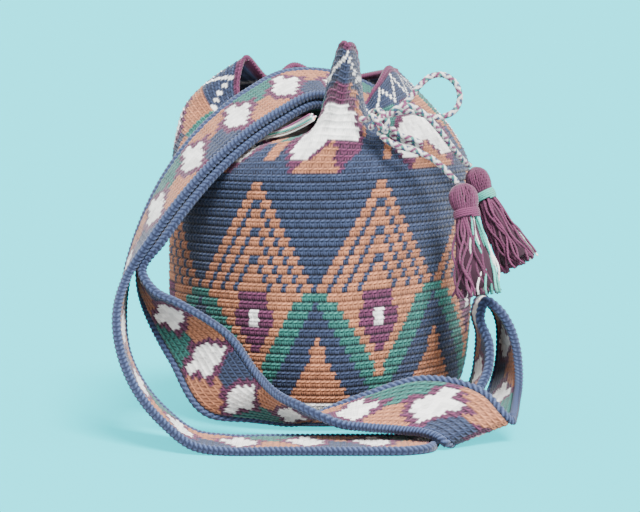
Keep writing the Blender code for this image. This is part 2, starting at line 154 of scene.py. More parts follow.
class BagSizes(bpy.types.PropertyGroup):
    """Sizes of the stitches and yarns."""

    row: FloatProperty(name="Wall row", description="Height of one round of stitches on the wall",
                       default=6.5 * MM, min=0.003, max=0.012, unit="LENGTH")
    relief: FloatProperty(name="Stitch depth", description="How far a stitch stands out of the cloth",
                          default=1.7 * MM, min=0.0, max=0.004, unit="LENGTH")
    strap_relief: FloatProperty(name="Strap stitch depth", description="How far a strap stitch stands out",
                                default=1.1 * MM, min=0.0, max=0.003, unit="LENGTH")
    cord: FloatProperty(name="Drawstring", description="Diameter of the braided drawstring",
                        default=4.3 * MM, min=0.002, max=0.01, unit="LENGTH")
    strand: FloatProperty(name="Tassel strand", description="Diameter of one strand of tassel yarn",
                          default=1.7 * MM, min=0.0005, max=0.004, unit="LENGTH")
    strands: IntProperty(name="Skirt strands", description="Number of strands in a tassel's skirt",
                         default=84, min=20, max=200)


# ---- curves ---------------------------------------------------------------
def hermite(t, y, tq, period=None):
    """Smooth curve through points y at parameters t, read at tq."""
    t, y = np.asarray(t, float), np.asarray(y, float)
    tq = np.atleast_1d(np.asarray(tq, float))
    if period:
        t = np.concatenate([[t[-2] - period, t[-1] - period], t, [t[0] + period, t[1] + period]])
        y = np.concatenate([y[-2:], y, y[:2]])
    h = np.diff(t)[:, None]
    d = np.diff(y, axis=0) / h
    m = np.zeros_like(y)
    m[1:-1] = (d[:-1] * h[1:] + d[1:] * h[:-1]) / (h[:-1] + h[1:])
    m[0], m[-1] = d[0], d[-1]
    i = np.clip(np.searchsorted(t, tq, side="right") - 1, 0, len(t) - 2)
    hh = (t[i + 1] - t[i])[:, None]
    s = (tq[:, None] - t[i][:, None]) / hh
    return ((2 * s**3 - 3 * s**2 + 1) * y[i] + (s**3 - 2 * s**2 + s) * hh * m[i]
            + (-2 * s**3 + 3 * s**2) * y[i + 1] + (s**3 - s**2) * hh * m[i + 1])


def lengths(p):
    """Distance along a path at each of its points."""
    return np.concatenate([[0], np.cumsum(np.linalg.norm(np.diff(np.asarray(p, float), axis=0), axis=1))])


def curve(points, step):
    """Evenly spaced points on a smooth curve through the given points."""
    p = np.asarray(points, float)
    t = lengths(p)
    fine = hermite(t, p, np.linspace(0, t[-1], 60 * len(p)))
    a = lengths(fine)
    n = max(3, int(round(a[-1] / step)) + 1)
    q = np.linspace(0, a[-1], n)
    return np.stack([np.interp(q, a, fine[:, k]) for k in range(3)], 1)


def unit(v):
    v = np.asarray(v, float)
    return v / np.maximum(np.linalg.norm(v, axis=-1, keepdims=True), 1e-9)


def carried(path):
    """Two sideways directions carried along a path without twist."""
    t = unit(np.gradient(path, axis=0))
    s = np.zeros_like(t)
    s[0] = unit(np.cross(t[0], (0.13, 0.31, 0.94)))
    for k in range(1, len(t)):
        s[k] = unit(s[k - 1] - t[k] * np.dot(s[k - 1], t[k]))
    return s, np.cross(t, s)


def around(phi, radius, z):
    """Point on a ring of the drum; phi in degrees."""
    a = np.radians(phi)
    x = radius * np.sin(a)
    return np.stack([x, -radius * np.cos(a), z + NECK_TILT * x * np.minimum(1.0, z / NECK_Z)], -1)


def body_points(phi, t):
    """Cloth of the bag: phi (n) in degrees, t (n, m) millimetres above the neck, below it negative."""
    angles = [c[0] for c in COLLAR]
    ctrl = [around(phi, np.full(len(phi), WALL_R), np.full(len(phi), NECK_Z - 22)),
            around(phi, np.full(len(phi), WALL_R - 1), np.full(len(phi), NECK_Z))]
    ctrl += [hermite(angles, [c[k] for c in COLLAR], phi, period=360) for k in (1, 2, 3, 4)]
    ctrl = np.stack(ctrl, 1)
    pa = curve([(r, z, 0) for r, z in PROFILE], step=1.0)
    arc = lengths(pa)
    out = np.empty(t.shape + (3,))
    for k in range(len(phi)):
        low = t[k] < -SHOULDER_Z
        out[k] = hermite(CONTROL_T, ctrl[k], np.maximum(t[k], -SHOULDER_Z))
        if low.any():
            depth = -t[k][low] - SHOULDER_Z
            rr = np.interp(depth, arc, pa[:, 0])
            past = np.maximum(depth - arc[-1], 0)
            rr = np.maximum(rr - past, 0.0)
            zz = np.interp(depth, arc, pa[:, 1])
            out[k][low] = around(np.full(len(rr), phi[k]), rr, zz)
    return out


ARC_TO_BASE = SHOULDER_Z + lengths(curve([(r, z, 0) for r, z in PROFILE], step=1.0))[-1]


# ---- stitch charts ----------------------------------------------------------
def pick(shape, rules):
    """Yarn numbers from (mask, yarn) rules; later rules win."""
    out = np.zeros(shape, int)
    for mask, yarn in rules:
        out[mask] = yarn
    return out


def by_round(r, first, values, other):
    """values[0] in round `first`, values[1] in the next one and so on; `other` in the rest."""
    k = np.clip(r - first, 0, len(values) - 1)
    return np.where((r >= first) & (r < first + len(values)), np.asarray(values)[k], other)


def wall_chart(r, k):
    """Yarn of the stitch in round r, 0 just under the neck, and column k, 0 in the middle of the front."""
    m = (k + 12) % 25 - 12
    a = np.abs(m)
    d = 12.5 - a
    roof = np.minimum(r + 1.0, 12)
    p = np.rint(roof - 0.5 - d)
    door = by_round(r, 12, [3, 3, 4, 4, 3, 2, 1], 0)
    inner = np.where(r == 12, 10, np.where(r == 13, 8, np.where(r <= 21, np.maximum(21 - r, 1), 0)))
    outer = np.where(r == 12, 13, np.maximum(25 - r, 0))
    hill = by_round(r, 17, [0.5, 1.5, 1.5, 2.5, 3.5, 4.5, 5.5, 6.5], 0)
    low = (r >= 12) & (r <= 24)
    return pick(r.shape, [
        ((r >= 0) & (r <= 11) & (d < roof), ORANGE),
        ((r >= 0) & (r <= 11) & (d < roof) & (p % 3 == 2) & ~((r == 11) & (d < 3)), BLUE),
        ((r == 11) & (a == 0), BLUE),
        (low & (d < outer), TEAL), ((r == 13) & (a == 0), BLUE), (low & (d < inner), ORANGE),
        (low & (d < door), MAUVE), (((r == 14) | (r == 15)) & (d < 1), WHITE),
        ((r >= 17) & (r <= 24) & (a < hill), ORANGE),
        (r == 25, WHITE), (r == 27, ORANGE), (r == 29, TEAL), (r == 31, MAUVE), (r == 34, WHITE),
    ])


def collar_chart(c, k):
    """Yarn of the collar; c counts rounds up from the neck, 1 to 19."""
    m = (k + 12) % 25 - 12
    a = np.where((k > 1) & (k < 12), 1 + (m - 1) * 1.6, np.abs(m))
    base = by_round(c, 1, [5, 4, 2, 1, 0], -1)
    inner = by_round(c, 3, [3, 2, 1], -1)
    white = by_round(c, 3, [7, 8, 8, 8, 8, 7, 6, 4], -1)
    ring = by_round(c, 1, [6, 7, 8, 9, 10, 10, 10, 9, 8, 7, 6, 4, 2], -1)
    zig = np.abs((m + 16) % 8 - 4)
    return pick(c.shape, [
        ((c >= 7) & (c <= 13) & (a > ring) & (a > 5), TEAL),
        ((c >= 7) & (c <= 13) & (a > ring) & (m > 0), ORANGE),
        ((c >= 7) & (c <= 13) & (a > ring + 2) & (k > 1) & (k < 12), BLUE),
        ((c >= 3) & (c <= 6) & (a > ring) & (a > 10) & (m < 0), ORANGE),
        (a <= ring, MAUVE), ((a <= white) & ~((c <= 5) & (k > 1) & (k < 12)), WHITE), (a <= inner, MAUVE),
        (a <= base, ORANGE),
        ((c >= 14) & (c <= 18) & (zig == np.abs(c - 14)), WHITE), (c >= 19, MAUVE),
    ])


def any_chart(r, k):
    return np.where(r < -1, collar_chart(-1 - r, k), wall_chart(np.maximum(r, -1), k))


def strap_chart(x, row):
    """Yarn of the strap; x counts stitches from a diamond's middle, row 0 to 9 across it."""
    pair = np.floor((x + 5.5) / 11.0)
    u = (x + 5.5) % 11.0 - 5.5
    lo = by_round(row, 1, [-0.6, -1.1, -3.2, -2.8, -2.1, -1.6, -0.9, 0.1], 9)
    hi = by_round(row, 1, [0.6, 0.9, 2.4, 3.3, 3.0, 2.6, 2.2, 1.2], -9)
    ring_lo = np.select([row == 0, row == 9], [-1.4, -1.0], lo - 1.5)
    ring_hi = np.select([row == 0, row == 9], [1.4, 1.8], hi + 1.5)
    gap = np.where(u > 0, pair, pair - 1) % 2
    first = np.where(gap < 0.5, TEAL, ORANGE)
    last = np.where(gap < 0.5, ORANGE, BLUE)
    out = np.where(row + 0.35 * np.abs(np.abs(u) - 5.5) * np.where(row < 5, 1, -1) < 4.6, first, last)
    out = np.where((u > ring_lo) & (u < ring_hi), MAUVE, out)
    return np.where((u > lo) & (u < hi), WHITE, out)


# ---- stitch shapes ----------------------------------------------------------
def stitch(fu, fv):
    """Height of one crochet stitch, 0 to 1: a slanting top loop over two upright legs (fv runs down)."""
    top = np.zeros_like(fu)
    for shift in (-1, 0, 1):
        u = fu + shift
        mid = 0.29 - 0.21 * u
        span = np.clip((u + 0.17) / 1.34, 0, 1)
        top = np.maximum(top, np.sin(math.pi * span) ** 0.7
                         * np.sqrt(np.clip(1 - ((fv - mid) / 0.135) ** 2, 0, 1)))
    leg = np.zeros_like(fu)
    for c in (0.27, 0.77):
        u = np.abs(fu - c - 0.14 * (0.6 - fv))
        u = np.minimum(u, np.abs(1 - u))
        leg = np.maximum(leg, np.sqrt(np.clip(1 - (u / 0.19) ** 2, 0, 1)))
    arch = np.clip(1 - np.abs(fv - 0.46) / 0.08, 0, 1) * 0.5
    body = np.maximum(leg, arch) * np.clip((fv - 0.33) / 0.10, 0, 1) * np.clip((0.89 - fv) / 0.14, 0, 1)
    return np.maximum(top, 0.75 * body)


V_STEPS = (0.0, 0.11, 0.22, 0.34, 0.48, 0.74, 0.88)
V_COARSE = (0.0, 0.12, 0.24, 0.37, 0.68)


def jitter(i, j, seed):
    """Repeatable noise in -1..1 for stitch (i, j)."""
    v = np.sin(i * 12.9898 + j * 78.233 + seed * 37.719) * 43758.5453
    return (v - np.floor(v)) * 2 - 1


def shaded(yarns, codes, shade):
    """Each stitch's colour, from its number among the yarns and its brightness."""
    pal = np.array([c[:] for c in yarns])
    return np.concatenate([pal[codes] * shade[..., None], np.ones(codes.shape + (1,))], -1)


def yarn_colours(codes, shade):
    y = bpy.context.scene.bag_yarns
    return shaded((y.blue, y.orange, y.teal, y.mauve, y.white), codes, shade)


# ---- mesh building ------------------------------------------------------------
def edit(me, *steps):
    """Run steps on a mesh, each a function of its bmesh."""
    bm = bmesh.new()
    bm.from_mesh(me)
    for step in steps:
        step(bm)
    bm.to_mesh(me)
    bm.free()


def fill_ends(bm):
    bmesh.ops.holes_fill(bm, edges=[e for e in bm.edges if e.is_boundary], sides=0)


def point_outwards(bm):
    bmesh.ops.recalc_face_normals(bm, faces=bm.faces)


def turn_over(bm):
    bmesh.ops.reverse_faces(bm, faces=bm.faces)


def dye(me, colour, relief, uv):
    """Write each vertex's yarn colour, how far it is raised, and where it lies among the stitches; the
    materials paint shade where it is little raised.
    """
    me.attributes.new("yarn", "FLOAT_COLOR", "POINT").data.foreach_set("color", colour.ravel())
    me.attributes.new("relief", "FLOAT", "POINT").data.foreach_set("value", relief)
    loops = np.empty(len(me.loops), np.int32)
    me.loops.foreach_get("vertex_index", loops)
    me.uv_layers.new(name="stitches").data.foreach_set("uv", uv[loops].ravel())


def add_object(name, data):
    ob = bpy.data.objects.new(name, data)
    bpy.context.scene.collection.objects.link(ob)
    return ob


def smooth_object(name, me):
    me.polygons.foreach_set("use_smooth", np.ones(len(me.polygons), bool))
    me.update()
    return add_object(name, me)


def flat_grid(name, nu, nv, size=1.0):
    me = bpy.data.meshes.new(name)
    edit(me, lambda bm: bmesh.ops.create_grid(bm, x_segments=nu, y_segments=nv, size=size))
    return me


def one_colour(colour, n):
    return np.tile(np.array([*colour, 1.0]), (n, 1))


def round_point(c, a, b, ra, rb, turn):
    """Points round a centre c: ra along a and rb along b, turned by an angle."""
    return c + a * (ra * np.cos(turn))[:, None] + b * (rb * np.sin(turn))[:, None]


def sheet_normals(pos):
    """Outward normals of a closed sheet of points, columns round the bag and rows down it."""
    du = np.roll(pos[:-1], -1, 0) - np.roll(pos[:-1], 1, 0)
    du = np.concatenate([du, du[:1]])
    return unit(np.cross(np.gradient(pos, axis=1), du))


MERGE = 0.00002        # metres; the two sides of a closed sheet meet within this


def grid_mesh(name, nu, nv, place, closed_u=False, closed_v=False, cap=False, turned=False):
    """A sheet of nu x nv cells. place(i, j) gives co, colour, relief and uv for every vertex; the
    edges that meet are merged, after the faces are turned over if turned is set."""
    me = flat_grid(name, nu, nv)
    n = len(me.vertices)
    flat = np.empty(n * 3)
    me.vertices.foreach_get("co", flat)
    flat = flat.reshape(n, 3)
    i = np.rint((flat[:, 0] + 1) / 2 * nu).astype(int)
    j = np.rint((flat[:, 1] + 1) / 2 * nv).astype(int)
    co, colour, relief, uv = place(i, j)
    me.vertices.foreach_set("co", (co * MM).ravel())
    dye(me, colour, relief, uv)
    edge = np.zeros(n, bool)
    if closed_u:
        edge |= (i == 0) | (i == nu)
    if closed_v:
        edge |= (j == 0) | (j == nv)
    steps = [turn_over] if turned else []
    if edge.any():
        steps.append(lambda bm: bmesh.ops.remove_doubles(
            bm, verts=[v for v, on in zip(bm.verts, edge) if on], dist=MERGE))
    if cap:
        steps.append(fill_ends)
    edit(me, *steps)
    return smooth_object(name, me)


def settle(ob, material, *nodes, slot=None):
    """Give a piece its material, its body and the parts it stands for."""
    ob.data.materials.clear()
    ob.data.materials.append(material)
    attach(ob, "root")
    if nodes:
        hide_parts(*nodes)
    return ob


# ---- materials ------------------------------------------------------------------
FUZZ_SCALE, DRIFT_SCALE = 1400, 38     # stray fibres, and slow changes of the dye
BUMP_HIGH = 0.0006                     # metres


def feed(tree, node, inputs):
    """Give a node's inputs their values, or the outputs of other nodes."""
    for key, value in dict(inputs).items():
        if isinstance(value, bpy.types.NodeSocket):
            tree.links.new(value, node.inputs[key])
        else:
            node.inputs[key].default_value = value


def add_node(tree, kind, inputs=(), **settings):
    node = tree.nodes.new(kind)
    for key, value in settings.items():
        setattr(node, key, value)
    feed(tree, node, inputs)
    return node


def plies_group():
    """Twisted plies, fuzz and painted shade in the gaps of a soft yarn."""
    if "Yarn plies" in bpy.data.node_groups:
        return bpy.data.node_groups["Yarn plies"]
    g = bpy.data.node_groups.new("Yarn plies", "ShaderNodeTree")
    for name, kind, value in (("Colour", "Color", (0.5, 0.5, 0.5, 1)), ("Stitch", "Vector", None),
                              ("Place", "Vector", None), ("Raised", "Float", 1.0), ("Plies", "Float", 4.0),
                              ("Gap", "Color", (0.05, 0.06, 0.12, 1)), ("Gap shade strength", "Float", 0.6)):
        s = g.interface.new_socket(name=name, in_out="INPUT", socket_type="NodeSocket" + kind)
        if value is not None:
            s.default_value = value
    for name, kind in (("Colour", "Color"), ("Height", "Float"), ("Roughness", "Float")):
        g.interface.new_socket(name=name, in_out="OUTPUT", socket_type="NodeSocket" + kind)
    given = g.nodes.new("NodeGroupInput").outputs

    def calc(op, *values, clamp=False):
        return add_node(g, "ShaderNodeMath", enumerate(values), operation=op, use_clamp=clamp).outputs[0]

    def plus(base, value, share):
        return calc("ADD", base, calc("MULTIPLY", value, share))

    def noise(scale, detail):
        return add_node(g, "ShaderNodeTexNoise",
                        {"Vector": given["Place"], "Scale": scale, "Detail": detail}).outputs[0]

    def vector(op, inputs):
        return add_node(g, "ShaderNodeVectorMath", inputs, operation=op).outputs

    stitch_at = add_node(g, "ShaderNodeSeparateXYZ", {0: given["Stitch"]}).outputs
    fuzz, drift = noise(FUZZ_SCALE, 2), noise(DRIFT_SCALE, 3)
    # painted shade and highlight: the colour is darker along the grooves between the twisted plies and
    # lighter on them; fuzz and drift vary it at random
    turn = calc("MULTIPLY", plus(stitch_at[0], stitch_at[1], 0.55), given["Plies"])
    wave = calc("SINE", calc("MULTIPLY", plus(turn, fuzz, 0.35), 2 * math.pi))
    ply = plus(0.5, wave, 0.5)
    tone = plus(plus(0.78, ply, 0.20), fuzz, 0.22)
    tone = plus(tone, calc("SUBTRACT", drift, 0.5), 0.35)
    # painted shade: low places between the strands are darkened towards a dark shade colour, less so in a
    # pale yarn
    gap_shade = calc("SUBTRACT", 1.0, given["Raised"], clamp=True)
    gap_shade = calc("MULTIPLY", calc("POWER", gap_shade, 0.42), given["Gap shade strength"])
    light = vector("DOT_PRODUCT", {0: given["Colour"], 1: (1 / 3, 1 / 3, 1 / 3)})["Value"]
    paler = calc("MULTIPLY", calc("POWER", light, 3.0), 0.85)
    gap_shade = calc("MULTIPLY", gap_shade, calc("SUBTRACT", 1.0, paler, clamp=True))
    mix = add_node(g, "ShaderNodeMix", {
        0: gap_shade, 6: vector("SCALE", {0: given["Colour"], "Scale": tone})[0],
        7: vector("MULTIPLY", {0: given["Colour"], 1: given["Gap"]})[0]}, data_type="RGBA")
    add_node(g, "NodeGroupOutput", {"Colour": mix.outputs[2], "Roughness": plus(0.68, fuzz, 0.25),
                                    "Height": plus(calc("MULTIPLY", ply, 0.6), fuzz, 0.6)})
    return g


def yarn_material(name, colour=None, plies=4.0, gap=(0.02, 0.018, 0.035, 1), depth=1.0,
                  sheen=0.25, bump=0.35):
    """Soft cotton yarn. Without a colour it takes each stitch's yarn from the cloth itself. gap and depth are
    the colour and strength of the painted shade in its gaps.
    """
    if name in bpy.data.materials:
        return bpy.data.materials[name]
    mat = bpy.data.materials.new(name)
    mat.use_nodes = True
    tree = mat.node_tree

    def attribute(key, out):
        return add_node(tree, "ShaderNodeAttribute", attribute_name=key).outputs[out]

    yarn = add_node(tree, "ShaderNodeGroup", node_tree=plies_group())
    feed(tree, yarn, {
        "Plies": plies, "Gap": gap, "Gap shade strength": depth, "Raised": attribute("relief", "Fac"),
        "Colour": attribute("yarn", "Color") if colour is None else (*colour, 1),
        "Stitch": add_node(tree, "ShaderNodeUVMap", uv_map="stitches").outputs[0],
        "Place": add_node(tree, "ShaderNodeTexCoord").outputs["Object"]})
    raised = add_node(tree, "ShaderNodeBump", {"Strength": bump, "Distance": BUMP_HIGH,
                                               "Height": yarn.outputs["Height"]})
    feed(tree, tree.nodes["Principled BSDF"], {
        "Base Color": yarn.outputs["Colour"], "Roughness": yarn.outputs["Roughness"],
        "Normal": raised.outputs[0], "Sheen Weight": sheen, "Sheen Roughness": 0.5,
        "Specular IOR Level": 0.25})
    return mat


# ---- the bag -----------------------------------------------------------------------
COLS = 175
TWIST = 0.8            # degrees that the columns are turned round the drum
COLLAR_HIGH, COLLAR_ROUNDS = 96.0, 19
WALL_ROUNDS, BASE_ROUNDS = 29, 13
FIRST = 7.5            # the first patterned round starts this far under the neck
GATHER = 1.7           # stitches that the gathered front takes from the sides


def column_angle(cols):
    """Degrees round the bag of a place counted in columns."""
    return (cols - COLS / 2.0) * 360.0 / COLS


def cloth_rows(first, last, steps):
    """Row coordinates of the vertices of rounds first..last, each cut at the given fractions."""
    return np.array([r + f for r in range(first, last + 1) for f in steps] + [last + 1.0])


def above_neck(rho, row, x):
    """Millimetres of cloth above the neck for a row coordinate (rounds count down, 0 = first patterned)."""
    sag = np.clip(rho, 0, 25)
    wall = -(FIRST + rho * row + 0.356 * sag - 0.01696 * sag**2)
    collar = (FIRST - row) * -1.0 + (-1 - rho) * (COLLAR_HIGH + FIRST - row) / COLLAR_ROUNDS
    rise = 0.07 * np.maximum(0, x - 15) * np.clip(rho / 10, 0.4, 1) - 0.012 * x
    return np.where(rho < -1, collar, wall) + rise * np.clip((rho + COLLAR_ROUNDS) / 6, 0, 1)


def slipped(cols, rho):
    """Stitch number that lies at a place round the bag: the front is gathered and the columns wander."""
    drift = np.interp(rho, [0, 12, 17, 24], [0.25, -0.8, -0.25, 0.0])
    return cols + GATHER * np.sin(4 * math.pi * (cols - COLS / 2) / COLS) - drift


def cloth_points(cols, rho):
    """The cloth's points and outward normals at columns cols and row coordinates rho."""
    row = bpy.context.scene.bag_sizes.row / MM
    angle = column_angle(cols)
    t = above_neck(rho[None, :], row, WALL_R * np.sin(np.radians(angle))[:, None])
    pos = body_points(angle - TWIST, t)
    return pos, sheet_normals(pos)


def bag_sheet(name, first, last, per, steps, depth):
    rho = cloth_rows(first, last, steps)
    nu, nv = COLS * per, len(rho) - 1
    cols = np.arange(nu + 1) / per
    pos, nrm = cloth_points(cols, rho)

    def place(i, j):
        u = cols[i]
        r = rho[j]
        rr = np.floor(r + 1e-6)
        fv = r - rr
        slip = slipped(u, r)
        h = stitch(slip - np.floor(slip), fv)
        col = np.floor(slip - np.where(fv < 0.32, 0.30, 0.0)).astype(int) - COLS // 2
        rk = rr.astype(int)
        codes = any_chart(rk, col)
        wob = jitter(np.floor(slip), rk, 1.0)
        h = h * (1 + 0.10 * wob)
        p, n = pos[i, j], nrm[i, j]
        co = p + n * (h * depth - 0.5)[:, None]
        shade = 1 + 0.07 * wob + 0.05 * jitter(np.floor(slip / 9), rk, 5.0)
        return co, yarn_colours(codes, shade), np.clip(h, 0, 1), np.stack([slip, -r], 1)

    ob = grid_mesh(name, nu, nv, place, closed_u=True)
    # one face tells which way they all point
    f = ob.data.polygons[len(ob.data.polygons) // 2]
    c = np.array(f.center) / MM
    k = np.unravel_index(np.argmin(np.sum((pos - c) ** 2, -1)), pos.shape[:2])
    if np.dot(np.array(f.normal), nrm[k]) < 0:
        edit(ob.data, turn_over)
    return ob


RIM_R, RIM_SHADE = 2.1, 0.55     # radius in millimetres; share of the plum yarn's brightness


class BAG_OT_body(bpy.types.Operator):
    """Wall, collar, base, lining side and rim of the crocheted body"""

    bl_idname = "bag.body"
    bl_label = "Body"

    def execute(self, context):
        depth = context.scene.bag_sizes.relief / MM
        # the charted crochet material paints dark shade in the low places between stitches
        cloth = yarn_material("charted crochet")
        pieces = [bag_sheet("wall_roofs", -1, 8, 5, V_STEPS, depth),
                  bag_sheet("wall_doors", 9, 18, 5, V_STEPS, depth),
                  bag_sheet("wall_foot", 19, 28, 5, V_STEPS, depth),
                  bag_sheet("collar", -20, -2, 4, V_COARSE, depth * 0.8)]
        settle(pieces[0], cloth, "bag_body", slot="body_yarn")
        for p in pieces[1:]:
            settle(p, cloth, slot="body_yarn")
        self.base(cloth)
        self.lining(cloth)
        self.rim()
        return {"FINISHED"}

    def base(self, cloth):
        """Spiral rounds of the base, closed at the middle."""
        nv = BASE_ROUNDS * 4
        row = bpy.context.scene.bag_sizes.row / MM
        edge = FIRST + WALL_ROUNDS * row
        rho = np.linspace(0, 1, nv + 1)
        radius0 = 78.0 - max(0.0, edge - ARC_TO_BASE)
        ring = body_points(np.array([0.0]), np.array([[-edge]]))[0, 0]
        r_edge = float(np.hypot(ring[0], ring[1]))
        z_edge = float(ring[2])

        def place(i, j):
            phi = column_angle(i) - TWIST
            f = rho[j]
            r = r_edge * (1 - f)
            z = z_edge * np.clip(1 - (r_edge - r) / max(r_edge - radius0 + 6, 1), 0, 1) ** 1.5
            fv = (f * BASE_ROUNDS) % 1.0
            h = 0.5 - 0.5 * np.cos(2 * math.pi * fv)
            co = around(phi, r, z + 0.3 + 0.9 * (1 - h) * (f < 1))
            ring = (f * BASE_ROUNDS).astype(int) % 4
            codes = pick(i.shape, [(ring == 1, ORANGE), (ring == 3, TEAL)])
            return co, yarn_colours(codes, 1 + 0.05 * jitter(i, j, 2)), h, np.stack([i, -f * BASE_ROUNDS], 1)

        ob = grid_mesh("base", COLS, nv, place, closed_u=True, closed_v=True, turned=True)
        settle(ob, cloth, slot="body_yarn")

    def lining(self, cloth):
        """Inner side of the cloth, from the rim to the middle of the base."""
        rho = np.arange(-20, 31.01, 0.5)
        nv = len(rho)
        pos, nrm = cloth_points(np.arange(COLS + 1), rho)
        mid = np.array([0.0, 0.0, CLOTH])
        inner = pos - nrm * (CLOTH - 0.6)

        def place(i, j):
            k = np.minimum(j, nv - 1)
            co = inner[i, k].copy()
            co[:, 2] = np.maximum(co[:, 2], np.where(k > nv - 6, CLOTH, -99))
            co[j == nv] = mid
            r = np.floor(rho[k] + 1e-6).astype(int)
            h = 0.5 + 0.5 * ((2 * rho[k]) % 2 == 0)
            co = co - nrm[i, k] * (0.5 * (h - 0.5))[:, None] * (j < nv)[:, None]
            col = np.floor(slipped(i, rho[k])).astype(int) - COLS // 2
            colour = yarn_colours(any_chart(r, col), 0.9 + 0.05 * jitter(i, j, 3))
            return co, colour, h, np.stack([i, -rho[k]], 1)

        ob = grid_mesh("lining_side", COLS, nv, place, closed_u=True, closed_v=True)
        f = ob.data.polygons[len(ob.data.polygons) // 2]
        if f.normal.x * f.center.x + f.normal.y * f.center.y > 0:
            edit(ob.data, turn_over)
        settle(ob, cloth, slot="body_yarn")

    def rim(self):
        """Slip-stitched edge round the mouth."""
        per = 4
        nu, nv = COLS * per, 8
        angle = column_angle(np.arange(nu + 1) / per) - TWIST
        pos = body_points(angle, np.tile([COLLAR_HIGH - 2, COLLAR_HIGH], (nu + 1, 1)))
        up = unit(pos[:, 1] - pos[:, 0])
        along = np.roll(pos[:-1, 1], -1, 0) - np.roll(pos[:-1, 1], 1, 0)
        along = unit(np.concatenate([along, along[:1]]))
        out = unit(np.cross(along, up))
        c = pos[:, 1] - out * (CLOTH / 2 - 0.5)
        colour = tuple(c * RIM_SHADE for c in bpy.context.scene.bag_yarns.mauve)

        def place(i, j):
            a = 2 * math.pi * j / nv
            w = i / per
            h = np.abs(np.cos(math.pi * (w + 0.45 * np.abs(np.sin(a)))))
            r = RIM_R * (0.75 + 0.35 * h ** 0.6)
            co = round_point(c[i], out[i], up[i], r * 1.25, r * 0.9, a)
            return co, one_colour(colour, len(i)), 0.35 + 0.65 * h, np.stack([w, j / nv], 1)

        ob = grid_mesh("rim", nu, nv, place, closed_u=True, closed_v=True)
        edit(ob.data, point_outwards)
        settle(ob, yarn_material("rim yarn", colour, plies=2, depth=0.8), slot="body_yarn")


# ---- the strap -----------------------------------------------------------------------
def shoulder_row(s):
    """The strap's two edges over the shoulder, s from 0 at the collar to 1."""
    a, b, c = np.asarray(SHOULDER, float)
    mid = (1 - s) ** 2 * a + 2 * s * (1 - s) * b + s * s * c
    turn = math.radians(TURN_TO + (TURN_FROM - TURN_TO) * math.cos(math.pi / 2 * s * s))
    dip = math.radians(DIP_TO + (DIP_FROM - DIP_TO) * math.cos(math.pi / 2 * s))
    across = np.array([math.sin(turn) * math.cos(dip), -math.cos(turn) * math.cos(dip), -math.sin(dip)])
    return mid - across * STRAP_WIDTH / 2, mid + across * STRAP_WIDTH / 2


def both(rows):
    """The two edges as separate rows of points."""
    return np.array(rows, float).swapaxes(0, 1)


def strap_edges():
    p1, p2 = both(OVER + [shoulder_row(k / SHOULDER_ROWS) for k in range(SHOULDER_ROWS)])
    n = unit(np.cross(unit(np.gradient((p1 + p2) / 2, axis=0)), unit(p2 - p1)))
    up = n[-1] if n[-1][0] < 0 else -n[-1]
    out = n * np.where(n @ up > 0, 1, -1)[:, None]
    below1, below2 = (p - out * UNDER for p in (p1, p2))
    turn1, turn2 = both([shoulder_row(1.0), *TURN])
    in1, in2 = both(INSIDE)
    return (np.concatenate([p1, turn1, below2[:RETURN_FROM - 1:-1], in1]),
            np.concatenate([p2, turn2, below1[:RETURN_FROM - 1:-1], in2]))


def strap_run(step):
    """Middle, width direction, face direction and half width at even steps along the strap."""
    p1, p2 = strap_edges()
    t = lengths((p1 + p2) / 2)
    fine = np.linspace(0, t[-1], 6000)
    a, b = hermite(t, p1, fine), hermite(t, p2, fine)
    arc = lengths((a + b) / 2)
    n = int(round(arc[-1] / step))
    q = np.linspace(0, arc[-1], n + 1)
    a, b = (np.stack([np.interp(q, arc, e[:, k]) for k in range(3)], 1) for e in (a, b))
    mid = (a + b) / 2
    w = unit(b - a)
    face = unit(np.cross(unit(np.gradient(mid, axis=0)), w))
    half = np.linalg.norm(b - a, axis=1) / 2 - (EDGE_D + GAP + 0.1)
    return q, mid, w, face, half


STRAP_STITCH = 4.5
STRAP_ROWS = 10
STRAP_FLIP = 780.0
REPEAT = 46.0          # one diamond and one gap, along the strap
FIRST_DIAMOND = 120.0  # from the end inside the collar
FOLD_AT, FOLD_WIDE, FOLD_SLIP = 1040.0, 90.0, 0.5   # the repeats open up by half of one before the fold
ROW_STEPS = (0.0, 0.14, 0.30, 0.62)
EDGE_PITCH, EDGE_STEPS, EDGE_SIDES = 3.5, 5, 12     # braid: one loop, its steps, corners of its section
SEAM_STEP, SEAM_STITCHES = 4.0, 10


def strap_stitches(q):
    """Stitches along the strap, counted from the first diamond's middle, at q millimetres."""
    slip = FOLD_SLIP * np.exp(-((q - FOLD_AT) / FOLD_WIDE) ** 2)
    return 11 * ((q - FIRST_DIAMOND) / REPEAT - slip)


